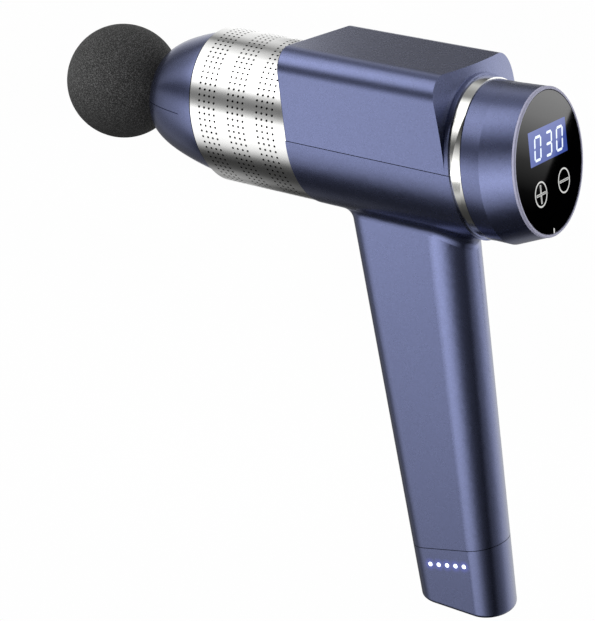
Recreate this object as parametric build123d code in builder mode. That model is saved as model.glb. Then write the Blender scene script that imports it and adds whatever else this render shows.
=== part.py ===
from build123d import *
import math
import os

# Percussion massager: a ball head on a crank-driven piston, a barrel with a perforated
# sleeve and a box over the motor, a round display behind and a battery handle below.
# Millimetres. -X is the front (head), +X the rear (display), +Z up. The origin is on
# the stroke axis, where the front parting plane of the housing crosses it.

os.makedirs("parts", exist_ok=True)

# ---------------------------------------------------------------- dimensions
LEAN = math.radians(11.0)   # section planes of the barrel lean forward by this
LEAN_TAN = math.tan(LEAN)
LEAN_COS = math.cos(LEAN)
ALONG_X = (1, 0, 0)
REACH = 60                  # half size of the prisms that trim pieces

JOINT_GAP = 0.1             # where sleeve, housing and trim ring butt
HALF_GAP = 0.15             # half the gap at the parting plane and the end cap seam

SLEEVE_R = 32.0             # perforated steel sleeve
SLEEVE_WALL = 0.6
SLEEVE_X0 = -47.2
LINER_BORE_R = 29.15

HOUSE_W = 32.9              # half width of the box, radius of lower barrel and collar
HOUSE_LOW = 32.3            # underside of the lower barrel below the stroke axis
HOUSE_H = 36.4              # top of the box above the stroke axis
HOUSE_CORNER_R = 10.3       # long top edges
HOUSE_X1 = 72.4             # rear of the box
HOUSE_WALL = 2.4
HOUSE_INNER_X0 = 2.6        # depth of the walls at both ends of the cavity
REAR_OPENING_R = 29.3

RING_X0, RING_X1 = 75.1, 79.5
RING_R0, RING_R1 = 31.9, 31.5
CAP_R = 31.4
CAP_BORE_R = 28.9
CREASE_X = 87.5             # where the display cap starts to rise
FACE_X, FACE_Z = 101.6, 3.3     # centre of the display face
RIM_R = 29.55

# nose: stations along the stroke axis and the outer radius there
NOSE_X0 = -77.7
NOSE_X1 = SLEEVE_X0 - 0.9
NOSE = [(NOSE_X0, 19.81), (-72.0, 23.33), (-66.0, 25.75), (-60.0, 27.62), (-54.0, 29.1),
        (NOSE_X1, 29.95)]
NOSE_WALL = 2.25
SLIT_X1, SLIT_W, SLIT_DEPTH = -56.3, 0.34, 0.7
WEB_X, WEB_THICK, WEB_BORE_R = -66, 2.6, 18.0

BALL_X, BALL_R = -106.5, 24.95

HANDLE_W = 14.3             # half width
HANDLE_FRONT_R = 10.0       # front corners
HANDLE_WALL = 1.8
HANDLE_BASE = -195.0
ROOT_COVE = 5.5             # cove all round the root of the handle
SEAM_Z0, SEAM_SLOPE = -185.7, 0.234     # end cap seam: z = SEAM_Z0 + SEAM_SLOPE * x

STROKE = 12.0
CRANK_R = STROKE / 2
MOTOR_X = 31.0
CRANK_XY = (MOTOR_X, CRANK_R)
ROD_L = 42.0
WRIST_X = MOTOR_X - math.sqrt(ROD_L**2 - CRANK_R**2)    # wrist pin at mid stroke
WRIST_PIN_R = 3.0
PISTON_X0 = -72
PISTON_R = 10.5
SOCKET_R = 9.1

TUBE_R, TUBE_BORE_R, TUBE_X1 = 16.2, 13.6, -22      # guide tube
PLATE_Z0, PLATE_THICK = 11.2, 2.8                   # motor plate
PLATE_Z1 = PLATE_Z0 + PLATE_THICK
SHAFT_R = 2.5
BEARING_R = 5.5
STATOR_Z, STATOR_H, TEETH = 18.0, 8.5, 12
BELL_R = 23.0

PACK_ANGLE = math.atan(0.2315)      # lean of the battery pack
PACK_X_DIR = (math.cos(PACK_ANGLE), 0, math.sin(PACK_ANGLE))
CELL_R, CELL_PITCH = 9.1, 18.36
CELL_ROWS = (0.0, 66.5)             # tops of the two rows, down the pack

# centres (x, z) of the five light pipes on the side of the end cap
LEDS = [(68.9, -176.9), (72.85, -175.98), (76.8, -175.05), (80.75, -174.13), (84.7, -173.2)]
LED_R = 1.0
ROCKER_X, ROCKER_Z, ROCKER_R = 76.0, -189.6, 5.2
PORT_X = 92.5
CAP_SCREW_X = 66.2


# -------------------------------------------------------------------- planes
def slant_plane(x, lean=LEAN, z=0):
    return Plane(origin=(x, 0, z), x_dir=(0, 1, 0), z_dir=(math.cos(lean), 0, math.sin(lean)))


def x_plane(x):
    return Plane.YZ.offset(x)


def z_plane(z, x=0, y=0):
    return Plane(origin=(x, y, z), x_dir=(1, 0, 0), z_dir=(0, 0, 1))


def motor_plane(z):
    return z_plane(z, MOTOR_X)


def crank_plane(z):
    return z_plane(z, *CRANK_XY)


def diagonal_points(radius, centre_x=0.0):
    # four points on a circle, at 45 degrees to the axes
    return [(centre_x + radius * math.cos(math.radians(a)), radius * math.sin(math.radians(a)))
            for a in (45, 135, 225, 315)]


def handle_front(z):
    return 9.0 - 0.273 * z


def handle_rear(z):
    return 65.66 - 0.1865 * z


def handle_round(z):
    # depth of the half-elliptical rear: fuller corners towards the root
    return 15.38 + 0.0241 * z


def pack_plane(distance):
    # across the battery pack, at a distance down the handle; local x points rearwards
    top_z = -41
    origin = ((handle_front(top_z) + handle_rear(top_z)) / 2, 0, top_z)
    z_dir = (-PACK_X_DIR[2], 0, PACK_X_DIR[0])
    return Plane(origin=origin, x_dir=PACK_X_DIR, z_dir=z_dir).offset(-distance)


FACE = slant_plane(FACE_X, z=FACE_Z)
BOARD = slant_plane(80.4)       # front face of the control board
# along the connecting rod: origin at the wrist pin, local x to the crank pin
ROD = Plane(origin=(WRIST_X, 0, 0),
            x_dir=(math.sqrt(1 - (CRANK_R / ROD_L)**2), CRANK_R / ROD_L, 0), z_dir=(0, 0, 1))

BOSSES = [(x, y) for x in (5.0, 57.0) for y in (-25.0, 25.0)]
MOTOR_SCREWS = diagonal_points(12, MOTOR_X)
BOARD_SCREWS = diagonal_points(25.6)


# ------------------------------------------------- solids for the open BuildPart
def disc(plane, radius, length, bore=0, mode=Mode.ADD):
    with BuildSketch(plane) as s:
        Circle(radius)
        if bore:
            Circle(bore, mode=Mode.SUBTRACT)
    extrude(s.sketch, amount=length, mode=mode)


def discs(plane, places, radius, length, bore=0, mode=Mode.ADD):
    with BuildSketch(plane) as s:
        with Locations(*places):
            Circle(radius)
            if bore:
                Circle(bore, mode=Mode.SUBTRACT)
    extrude(s.sketch, amount=length, mode=mode)


def block(plane, width, height, length, mode=Mode.ADD, at=(0, 0)):
    with BuildSketch(plane) as s:
        with Locations(at):
            Rectangle(width, height)
    extrude(s.sketch, amount=length, mode=mode)


def slot(plane, overall, width, length, rotation=0):
    with BuildSketch(plane) as s:
        SlotOverall(overall, width, rotation=rotation)
    extrude(s.sketch, amount=length)


def side_prism(points, mode):
    # (x, z) outline extruded to both sides
    with BuildSketch(Plane.XZ) as s:
        Polygon(*points, align=None)
    extrude(s.sketch, amount=REACH, both=True, mode=mode)


def trim(x0, x1):
    # keeps what lies between two slanted section planes
    shift = REACH * LEAN_TAN
    side_prism([(x0 - shift, REACH), (x1 - shift, REACH), (x1 + shift, -REACH),
                (x0 + shift, -REACH)], Mode.INTERSECT)


def above_seam(gap, mode):
    # wedge above the slanted end cap seam
    x1 = 140
    side_prism([(0, SEAM_Z0 + gap), (x1, SEAM_Z0 + gap + x1 * SEAM_SLOPE), (x1, REACH),
                (0, REACH)], mode)


def disc_face(plane, radius):
    with BuildSketch(plane) as s:
        Circle(radius)
    return s.sketch.faces()[0]


def slant_disc(x, radius, lean=LEAN):
    # leaning section of a round bar along the stroke axis
    with BuildSketch(slant_plane(x, lean)) as s:
        Ellipse(radius, radius / math.cos(lean))
    return s.sketch.faces()[0]


def slant_cylinder(x, radius, length, mode=Mode.ADD):
    extrude(slant_disc(x, radius), amount=length, dir=ALONG_X, mode=mode)


def end_openings(mode=Mode.ADD):
    # front opening towards the sleeve and rear opening into the display cap
    slant_cylinder(-3, 28.0, 10, mode)
    slant_cylinder(66, REAR_OPENING_R, 10, mode)


def nose_loft(stations, inset, mode=Mode.ADD):
    # round sections whose planes lean more and more towards the sleeve
    sections = []
    for x, radius in stations:
        lean = math.atan(LEAN_TAN * (x - NOSE_X0) / (NOSE_X1 - NOSE_X0))
        sections.append(slant_disc(x, radius - inset, lean))
    loft(sections, mode=mode)


def box_profile(plane, inset, top, bottom):
    with BuildSketch(plane) as s:
        with Locations((0, (top + bottom) / 2)):
            Rectangle(2 * (HOUSE_W - inset), top - bottom)
        fillet(s.vertices().group_by(Axis.Y)[-1], HOUSE_CORNER_R - inset)
    return s.sketch


def handle_section(z, inset):
    front, rear = handle_front(z) + inset, handle_rear(z) - inset
    width, corner = HANDLE_W - inset, HANDLE_FRONT_R - inset
    depth = handle_round(z) - inset
    diagonal = corner * math.sqrt(0.5)
    arc_x, arc_y = front + corner - diagonal, width - corner + diagonal
    with BuildSketch(Plane.XY.offset(z)) as s:
        with BuildLine():
            Line((front + corner, -width), (rear - depth, -width))
            EllipticalCenterArc((rear - depth, 0), depth, width, start_angle=-90, arc_size=180)
            Line((rear - depth, width), (front + corner, width))
            ThreePointArc((front + corner, width), (arc_x, arc_y), (front, width - corner))
            Line((front, width - corner), (front, corner - width))
            ThreePointArc((front, corner - width), (arc_x, -arc_y), (front + corner, -width))
        make_face()
    return s.sketch.faces()[0]


def handle_solid(z0, z1, inset):
    loft([handle_section(z0, inset), handle_section(z1, inset)], ruled=True)


# ------------------------------------------------------------ barrel, outside
def front_cone():
    # ogive shell with a web for the guide tube and a spigot for the liner
    with BuildPart() as shell:
        nose_loft(NOSE, 0)
        # cavity behind the lip, then the opening for the attachment
        nose_loft([(-74.5, 21.45)] + NOSE[1:-1] + [(-47.0, 29.95)], NOSE_WALL,
                  mode=Mode.SUBTRACT)
        disc(x_plane(-90), 17.6, 30, mode=Mode.SUBTRACT)
        chamfer(shell.edges().filter_by(GeomType.CIRCLE).group_by(Axis.X)[0].sort_by(
            SortBy.RADIUS)[-1:], 0.35)
        disc(x_plane(WEB_X), 24.0, WEB_THICK, bore=WEB_BORE_R)
    # slits along both flanks, shallower than the wall
    with BuildPart() as slits:
        block(x_plane(-80), 90, SLIT_W, 80 + SLIT_X1)
        nose_loft(NOSE, SLIT_DEPTH, mode=Mode.SUBTRACT)
    with BuildPart() as spigot:
        disc(x_plane(-58), LINER_BORE_R - 0.1, 40, bore=27.2)
        trim(-51, -41)
    return (shell.part - slits.part) + spigot.part


def muzzle_seal():
    # stepped ring just inside the nose opening
    with BuildPart() as seal:
        disc(x_plane(-74.2), 17.5, 1.6, bore=12.6)
        disc(x_plane(-72.6), 17.5, 3.4, bore=14.5)
    return seal.part


def perforated_sleeve():
    with BuildPart() as sleeve:
        disc(x_plane(-70), SLEEVE_R, 90, bore=SLEEVE_R - SLEEVE_WALL)
        trim(SLEEVE_X0, -JOINT_GAP)
    return sleeve.part


def sleeve_liner():
    with BuildPart() as liner:
        disc(x_plane(-70), SLEEVE_R - SLEEVE_WALL - 0.05, 90, bore=LINER_BORE_R)
        trim(SLEEVE_X0 - 0.8, -JOINT_GAP)
    return liner.part


def housing_upper():
    # squared box over the motor, with the upper half of the round collar behind it
    boss_z = 16.3
    cone_x, cone_r = 69.5, 54.6
    with BuildPart() as box:
        extrude(box_profile(Plane.YZ, 0, HOUSE_H, HALF_GAP), amount=100, both=True)
        trim(0, HOUSE_X1 + 3)
        fillet(box.edges().filter_by(
            lambda e: abs(e.center().X + e.center().Z * LEAN_TAN) < 0.6).filter_by(
            lambda e: e.center().Z > 1.0), 0.7)
        cavity = box_profile(slant_plane(HOUSE_INNER_X0), HOUSE_WALL,
                             (HOUSE_H - HOUSE_WALL) / LEAN_COS, -2)
        extrude(cavity, amount=HOUSE_X1 - 2 * HOUSE_INNER_X0, dir=ALONG_X, mode=Mode.SUBTRACT)
        end_openings(Mode.SUBTRACT)
        # suspension bosses
        discs(z_plane(boss_z), BOSSES, 3.6, 16.5)
        discs(z_plane(boss_z), BOSSES, 1.25, 9, mode=Mode.SUBTRACT)
    # the rear of the box falls away as a shallow cone around the collar
    with BuildPart() as rear_cone:
        slant_cylinder(-30, cone_r, cone_x + 30)
        loft([slant_disc(cone_x, cone_r), slant_disc(73.3, 33.0)])
    with BuildPart() as collar:
        disc(x_plane(50), HOUSE_W, 50, bore=REAR_OPENING_R)
        trim(HOUSE_X1 - 2.4, RING_X0 - JOINT_GAP)
        side_prism([(40, HALF_GAP), (100, HALF_GAP), (100, REACH), (40, REACH)],
                   Mode.INTERSECT)
    return (box.part & rear_cone.part) + collar.part


def housing_lower():
    # half barrel and tubular handle in one piece
    with BuildPart() as barrel:
        with BuildSketch(x_plane(-40)):
            Ellipse(HOUSE_W, HOUSE_LOW)
        extrude(amount=160)
        trim(0, RING_X0 - JOINT_GAP)
        side_prism([(-40, -HALF_GAP), (140, -HALF_GAP), (140, -REACH), (-40, -REACH)],
                   Mode.INTERSECT)
    with BuildPart() as handle:
        handle_solid(-12, -205, 0)
        above_seam(HALF_GAP, Mode.INTERSECT)
    with BuildPart() as handle_inner:
        handle_solid(-14, -210, HANDLE_WALL)
    with BuildPart() as barrel_inner:
        slant_cylinder(HOUSE_INNER_X0, HOUSE_W - HOUSE_WALL, HOUSE_X1 - 2 * HOUSE_INNER_X0)
    with BuildPart() as openings:
        end_openings()
    body = (barrel.part + handle.part).solids()[0]
    root_edges = [e for e in body.edges()
                  if e.geom_type != GeomType.LINE and -34 < e.center().Z < -20
                  and 10 < e.center().X < 90 and abs(e.center().Y) < HANDLE_W + 0.1
                  and 1.5 < e.center().X + e.center().Z * LEAN_TAN < HOUSE_X1 + 1]
    body = body.fillet(ROOT_COVE, root_edges)
    body = body - handle_inner.part - barrel_inner.part
    return body - openings.part


# --------------------------------------------------------------- display end
def trim_ring():
    with BuildPart() as trim_band:
        with BuildSketch(Plane.XY):
            with BuildLine():
                Polyline((60, RING_R0), (RING_X0, RING_R0), (RING_X1, RING_R1), (95, RING_R1),
                         (95, 28.0), (60, 28.0), (60, RING_R0))
            make_face()
        revolve(axis=Axis.X)
        trim(RING_X0, RING_X1)
    return trim_band.part


def display_cap():
    # round at the ring, drawn up at its end so the face sits high
    outer_x0, inner_x0 = RING_X1 + 0.12, RING_X1 - 1
    end_plane = FACE.offset(-1.2)
    with BuildPart() as cap:
        slant_cylinder(outer_x0, CAP_R, CREASE_X - outer_x0)
        loft([slant_disc(CREASE_X, CAP_R), disc_face(end_plane, RIM_R)])
        slant_cylinder(inner_x0, CAP_BORE_R, CREASE_X - inner_x0, Mode.SUBTRACT)
        loft([slant_disc(CREASE_X, CAP_BORE_R), disc_face(end_plane, 27.4)],
             mode=Mode.SUBTRACT)
        # four screw posts inside the cap
        with BuildSketch(slant_plane(RING_X1 + 3.2)) as posts:
            with PolarLocations(26.3, 4, start_angle=45):
                Circle(3.0)
        extrude(posts.sketch, amount=8.0, dir=ALONG_X)
        discs(BOARD, BOARD_SCREWS, 0.95, 8.0, mode=Mode.SUBTRACT)
    return cap.part


def display_bezel():
    with BuildPart() as bezel:
        disc(FACE.offset(-1.15), RIM_R, 1.15, bore=28.35)
        fillet(bezel.edges().filter_by(
            lambda e: e.geom_type == GeomType.CIRCLE and abs(e.radius - RIM_R) < 0.01).sort_by(
            lambda e: e.center().X)[-1:], 0.5)
    return bezel.part


def display_glass():
    with BuildPart() as glass:
        disc(FACE.offset(-1.15), 28.3, 0.95)
        chamfer(glass.edges().sort_by(lambda e: e.center().X)[-1:], 0.3)
    return glass.part


DIGITS_AT = (0, 4.5)    # centre of the digit window on the face


def touch_board():
    # disc behind the glass with a window for the digits
    with BuildPart() as board:
        disc(FACE.offset(-2.9), 26.6, 1.0)
        block(FACE.offset(-3), 21, 17, 3, mode=Mode.SUBTRACT, at=DIGITS_AT)
    return board.part


def display_module():
    with BuildPart() as module:
        block(FACE.offset(-7.5), 20.4, 16.4, 5.4, at=DIGITS_AT)
        block(FACE.offset(-2.6), 17, 12.4, 0.5, mode=Mode.SUBTRACT, at=DIGITS_AT)
    return module.part


def control_board():
    with BuildPart() as board:
        disc(BOARD, 26.5, 1.6)
        discs(BOARD.offset(-1), BOARD_SCREWS, 2.0, 4, mode=Mode.SUBTRACT)
    return board.part


def board_components():
    rear = BOARD.offset(1.62)
    with BuildPart() as components:
        discs(rear, [(-13, 10), (-13, -3)], 4.0, 6.5)
        block(rear, 9, 9, 1.2, at=(2, -6))
        block(rear, 12, 3.4, 4.6, at=(10, 14))
        # on the front face: a row of six, and one tall block
        for k in range(6):
            block(BOARD.offset(-1.52), 5, 6, 1.5, at=(-17.5 + 7 * k, -10.8))
        block(BOARD.offset(-6.02), 13, 5, 6.0, at=(0, 12))
    return components.part


def board_screws():
    seat = BOARD.offset(-0.02)
    with BuildPart() as screws:
        discs(seat, BOARD_SCREWS, 1.75, -1.3)
        discs(seat, BOARD_SCREWS, 0.88, 6.0)
    return screws.part


# ------------------------------------------------------------------ mechanism
def chassis():
    # guide tube, motor plate and suspension lugs in one piece
    plate, below = z_plane(PLATE_Z0), z_plane(10)
    with BuildPart() as casting:
        disc(x_plane(-64), TUBE_R, TUBE_X1 + 64)
        block(plate, 36, 24, PLATE_THICK, at=(-12, 0))
        block(plate, 60, 44, PLATE_THICK, at=(MOTOR_X, 0))
        discs(plate, BOSSES, 4.6, PLATE_THICK)
        for x in (5, 57):
            block(plate, 9.2, 50, PLATE_THICK, at=(x, 0))
        disc(x_plane(-64.5), TUBE_BORE_R, TUBE_X1 + 64.5, mode=Mode.SUBTRACT)
        # rectangular cut at the rear end of the tube
        block(x_plane(-24), 60, 22.3, 3, mode=Mode.SUBTRACT)
        # motor pilot hole, four motor screws, four suspension screws
        discs(below, [(MOTOR_X, 0)], 7.2, 6, mode=Mode.SUBTRACT)
        discs(below, MOTOR_SCREWS, 1.65, 6, mode=Mode.SUBTRACT)
        discs(below, BOSSES, 2.75, 6, mode=Mode.SUBTRACT)
        # lightening slots either side of the motor
        for y in (-18, 18):
            block(below, 22, 3.4, 6, mode=Mode.SUBTRACT, at=(MOTOR_X, y))
    return casting.part


def suspension_grommets():
    # bottom z, radius and height of each layer: core, two flanges, two thin links
    layers = [(11.2, 2.7, 2.8), (14.05, 4.4, 2.15), (8.95, 4.4, 2.15),
              (14.0, 2.7, 0.05), (11.1, 2.7, 0.1)]
    with BuildPart() as grommets:
        for z, radius, height in layers:
            discs(z_plane(z), BOSSES, radius, height, bore=1.55)
    return grommets.part


def suspension_screws():
    head_z, head_h = 7.1, 1.8
    with BuildPart() as screws:
        discs(z_plane(head_z), BOSSES, 3.0, head_h)
        discs(z_plane(head_z + head_h), BOSSES, 1.2, 13)
        discs(z_plane(head_z), BOSSES, 1.3, 1.0, mode=Mode.SUBTRACT)
    return screws.part


def front_isolator():
    with BuildPart() as isolator:
        disc(x_plane(WEB_X), WEB_BORE_R - 0.05, WEB_THICK, bore=TUBE_R + 0.05)
    return isolator.part


def guide_bush():
    with BuildPart() as bush:
        disc(x_plane(-62.5), TUBE_BORE_R - 0.05, 34, bore=PISTON_R + 0.05)
    return bush.part


def wiper_seal():
    with BuildPart() as seal:
        disc(x_plane(-66.0), 16.1, 1.9, bore=12.0)
        disc(x_plane(-66.0), 12.0, 0.9, bore=PISTON_R + 0.12)
    return seal.part


def piston():
    with BuildPart() as rod:
        disc(x_plane(PISTON_X0), PISTON_R, 68)
        # socket for the attachments
        disc(x_plane(PISTON_X0), SOCKET_R, 25, mode=Mode.SUBTRACT)
        # clevis slot and wrist pin bore
        block(Plane.XY.offset(-4.2), 15.2, 40, 8.4, mode=Mode.SUBTRACT, at=(-11.4, 0))
        discs(z_plane(-15), [(WRIST_X, 0)], WRIST_PIN_R + 0.01, 30, mode=Mode.SUBTRACT)
        chamfer(rod.edges().filter_by(GeomType.CIRCLE).sort_by(Axis.X)[:1], 0.5)
    return rod.part


def wrist_pin():
    half_length = 9.6
    with BuildPart() as pin:
        disc(z_plane(-half_length, WRIST_X), WRIST_PIN_R, 2 * half_length)
        chamfer(pin.edges().filter_by(GeomType.CIRCLE), 0.3)
    return pin.part


SMALL_END_H = 7.8


def connecting_rod():
    crank_end = [(ROD_L, 0)]
    with BuildPart() as rod:
        disc(ROD.offset(-SMALL_END_H / 2), 7.2, SMALL_END_H)
        block(ROD.offset(-2.8), ROD_L, 9.0, 5.6, at=(ROD_L / 2, 0))
        discs(ROD.offset(-3.2), crank_end, 11.2, 6.4)
        # recesses in the top and bottom of the shank
        for z in (1.6, -3.6):
            block(ROD.offset(z), 18, 5.0, 2, mode=Mode.SUBTRACT, at=(18.5, 0))
        disc(ROD.offset(-5), 4.25, 10, mode=Mode.SUBTRACT)
        discs(ROD.offset(-5), crank_end, 8.02, 10, mode=Mode.SUBTRACT)
    return rod.part


def small_end_bush():
    with BuildPart() as bush:
        disc(ROD.offset(-SMALL_END_H / 2), 4.22, SMALL_END_H, bore=WRIST_PIN_R + 0.04)
    return bush.part


def big_end_bearing():
    # outer race, inner race and nine balls
    with BuildPart() as bearing:
        disc(crank_plane(-2.5), 8.0, 5, bore=6.9)
        disc(crank_plane(-2.5), 5.1, 5, bore=4.0)
        with Locations((*CRANK_XY, 0)):
            with PolarLocations(6.0, 9):
                Sphere(0.88)
    return bearing.part


def crank_pin():
    # the pin stops short of the crank disc: the linkage is open here
    head_z, head_h = -3.7, 1.15
    with BuildPart() as pin:
        disc(crank_plane(head_z), 5.0, head_h)
        disc(crank_plane(head_z + head_h), 3.98, 5.75)
        with BuildSketch(crank_plane(head_z)):
            RegularPolygon(2.0, 6)
        extrude(amount=0.9, mode=Mode.SUBTRACT)
    return pin.part


def crank_disc():
    # disc with its counterweight opposite the pin
    bottom_z, height = 3.5, 6
    with BuildPart() as crank:
        disc(motor_plane(bottom_z), 12.0, height)
        with BuildSketch(motor_plane(bottom_z)):
            Circle(18.5)
            with Locations((0, 15)):
                Rectangle(60, 34, mode=Mode.SUBTRACT)
        extrude(amount=height)
        disc(motor_plane(3), SHAFT_R, 8, mode=Mode.SUBTRACT)
        disc(crank_plane(bottom_z), 1.6, 4.5, mode=Mode.SUBTRACT)
    return crank.part


def motor_shaft():
    with BuildPart() as shaft:
        disc(motor_plane(3.8), SHAFT_R - 0.01, 28.9)
        chamfer(shaft.edges().filter_by(GeomType.CIRCLE), 0.3)
    return shaft.part


def motor_base():
    flange_h = 2.0
    bore = BEARING_R + 0.03
    with BuildPart() as base:
        disc(motor_plane(PLATE_Z1), 16.0, flange_h, bore=bore)
        disc(motor_plane(PLATE_Z1 + flange_h), 8.0, 12.8, bore=bore)
        discs(z_plane(13.5), MOTOR_SCREWS, 1.25, 4, mode=Mode.SUBTRACT)
    return base.part


def motor_screws():
    with BuildPart() as screws:
        discs(z_plane(9.9), MOTOR_SCREWS, 2.5, 1.3)
        discs(z_plane(PLATE_Z0), MOTOR_SCREWS, 1.2, 4.6)
        discs(z_plane(9.8), MOTOR_SCREWS, 1.0, 0.8, mode=Mode.SUBTRACT)
    return screws.part


def motor_bearings():
    # two bearings, each with outer race, inner race and eight balls
    height = 3.5
    with BuildPart() as bearings:
        for z in (14.4, 25.0):
            disc(motor_plane(z), BEARING_R, height, bore=4.6)
            disc(motor_plane(z), 3.4, height, bore=SHAFT_R + 0.01)
            with Locations((MOTOR_X, 0, z + height / 2)):
                with PolarLocations(4.0, 8):
                    Sphere(0.58)
    return bearings.part


def stator_core():
    with BuildPart() as core:
        disc(motor_plane(STATOR_Z), 11.2, STATOR_H, bore=8.02)
        # teeth
        with BuildSketch(motor_plane(STATOR_Z)):
            with PolarLocations(15.0, TEETH):
                Rectangle(8.6, 2.4)
        extrude(amount=STATOR_H)
        # rim, split between the teeth
        with BuildSketch(motor_plane(STATOR_Z)):
            Circle(19.5)
            Circle(18.1, mode=Mode.SUBTRACT)
            with PolarLocations(18.8, TEETH, start_angle=15):
                Rectangle(3, 2.0, mode=Mode.SUBTRACT)
        extrude(amount=STATOR_H)
    return core.part


def stator_windings():
    # a block round each tooth, cleared for the tooth
    radius = 14.7
    with BuildPart() as windings:
        with BuildSketch(motor_plane(16.5)):
            with PolarLocations(radius, TEETH):
                Rectangle(5.4, 5.2)
        extrude(amount=11.5)
        with BuildSketch(motor_plane(STATOR_Z - 0.1)):
            with PolarLocations(radius, TEETH):
                Rectangle(9, 2.5)
        extrude(amount=STATOR_H + 0.2, mode=Mode.SUBTRACT)
    return windings.part


def rotor_bell():
    with BuildPart() as bell:
        disc(motor_plane(16.8), BELL_R, 13.0, bore=21.65)
        disc(motor_plane(29.6), BELL_R, 1.6, bore=SHAFT_R)
        disc(motor_plane(31.2), 5.0, 1.4, bore=SHAFT_R)
        with BuildSketch(motor_plane(29)):
            with PolarLocations(13.5, 6):
                SlotOverall(9, 5)
        extrude(amount=3, mode=Mode.SUBTRACT)
        fillet(bell.edges().filter_by(
            lambda e: e.geom_type == GeomType.CIRCLE and abs(e.radius - BELL_R) < 0.01
            and e.center().Z > 31), 1.0)
    return bell.part


def rotor_magnets():
    # thin ring notched at 14 places
    with BuildPart() as magnets:
        with BuildSketch(motor_plane(17.6)):
            Circle(21.6)
            Circle(20.1, mode=Mode.SUBTRACT)
            with PolarLocations(20.8, 14):
                Rectangle(4, 0.6, mode=Mode.SUBTRACT)
        extrude(amount=9.4)
    return magnets.part


# ---------------------------------------------------------------- battery pack
def battery_cells():
    # two rows of two cells, each with a raised terminal
    places = [(-CELL_PITCH / 2, 0), (CELL_PITCH / 2, 0)]
    with BuildPart() as cells:
        for row in CELL_ROWS:
            discs(pack_plane(row + 65), places, CELL_R, 64.4)
            discs(pack_plane(row + 0.6), places, 4.2, 0.6)
    return cells.part


def nickel_strips():
    thickness = 0.2
    with BuildPart() as strips:
        for top in (-0.25, 65.02, 66.24, 131.52):
            block(pack_plane(top + thickness), CELL_PITCH + 7, 7, thickness)
    return strips.part


def cell_holders():
    # distance of the top down the pack, end radius and thickness
    holders_table = [(-2.6, CELL_R, 2.3), (65.25, CELL_R - 0.3, 0.95), (131.75, CELL_R, 1.9)]
    with BuildPart() as holders:
        for top, radius, thickness in holders_table:
            slot(pack_plane(top), CELL_PITCH + 2 * radius, 2 * radius, -thickness)
    return holders.part


def battery_board():
    with BuildPart() as board:
        block(pack_plane(136.8), 29, 16, 1.4)
        for x in (-8, 0):
            block(pack_plane(138.4), 5, 6, 1.58, at=(x, 0))
        block(pack_plane(139.0), 6, 8, 2.18, at=(8, 0))
    return board.part


# ------------------------------------------------------------------- end cap
def end_cap():
    below = HANDLE_BASE - 1
    with BuildPart() as shell:
        handle_solid(-150, HANDLE_BASE, 0)
        above_seam(-HALF_GAP, Mode.SUBTRACT)
        fillet(shell.edges().filter_by(lambda e: abs(e.center().Z - HANDLE_BASE) < 0.05), 1.6)
    with BuildPart() as cavity:
        handle_solid(-150, HANDLE_BASE + 2.4, HANDLE_WALL)
    # openings for the rocker, charge port, light pipes and screw
    with BuildPart() as windows:
        block(z_plane(below), 9.4, 7.6, 5, at=(ROCKER_X, 0))
        slot(z_plane(below, PORT_X), 9.7, 3.9, 5, rotation=90)
        discs(Plane.XZ.offset(8), LEDS, LED_R, 10)
        disc(z_plane(below, CAP_SCREW_X), 1.3, 6)
        disc(z_plane(below, CAP_SCREW_X), 2.3, 2.4)
    return shell.part - cavity.part - windows.part


def led_light_pipes():
    with BuildPart() as pipes:
        discs(Plane.XZ.offset(12.1), LEDS, LED_R - 0.05, 2.25)
        fillet(pipes.edges().filter_by(lambda e: e.center().Y < -HANDLE_W), 0.12)
    return pipes.part


def led_board():
    x, z = LEDS[2]
    with BuildPart() as board:
        block(Plane(origin=(x, -11.0, z), x_dir=PACK_X_DIR, z_dir=(0, -1, 0)), 22, 5, 0.8)
    return board.part


def end_cap_screw():
    seat = z_plane(HANDLE_BASE + 1.35, CAP_SCREW_X)
    with BuildPart() as screw:
        disc(seat, 2.1, -1.1)
        disc(seat, 1.2, 6)
    return screw.part


def rocker_body():
    # block bored across for the rocker, open below, with two blades on top
    with BuildPart() as body:
        block(z_plane(-192.55), 12.4, 9.6, 9.0, at=(ROCKER_X, 0))
        discs(Plane.XZ.offset(-3.7), [(ROCKER_X, ROCKER_Z)], ROCKER_R + 0.2, 7.4,
              mode=Mode.SUBTRACT)
        block(z_plane(-194), 9.0, 7.4, 3, mode=Mode.SUBTRACT, at=(ROCKER_X, 0))
        for offset in (-3.5, 3.5):
            block(z_plane(-183.5), 0.8, 4.5, 4.0, at=(ROCKER_X + offset, 0))
    return body.part


def power_rocker():
    # round bar cut off below by two faces that meet at a shallow angle
    apex_z = ROCKER_Z - 4.0
    reach = 8
    side_z = apex_z - reach * math.tan(math.radians(8))
    with BuildPart() as rocker:
        with BuildSketch(Plane.XZ.offset(-3.5)):
            with Locations((ROCKER_X, ROCKER_Z)):
                Circle(ROCKER_R)
            Polygon((ROCKER_X, apex_z), (ROCKER_X + reach, side_z),
                    (ROCKER_X + reach, ROCKER_Z - 12), (ROCKER_X - reach, ROCKER_Z - 12),
                    (ROCKER_X - reach, side_z), align=None, mode=Mode.SUBTRACT)
        extrude(amount=7.0)
    return rocker.part


def charge_port():
    # slot-shaped shell with a closed inner end and a tongue
    overall, width = 9.1, 3.3
    shell_z, shell_l = -194.5, 7.0
    with BuildPart() as port:
        with BuildSketch(z_plane(shell_z, PORT_X)):
            SlotOverall(overall, width, rotation=90)
            SlotOverall(8.4, 2.6, rotation=90, mode=Mode.SUBTRACT)
        extrude(amount=shell_l)
        slot(z_plane(shell_z + shell_l, PORT_X), overall, width, 1.0, rotation=90)
        block(z_plane(-193.6), 0.7, 6.6, 6.2, at=(PORT_X, 0))
    return port.part


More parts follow.
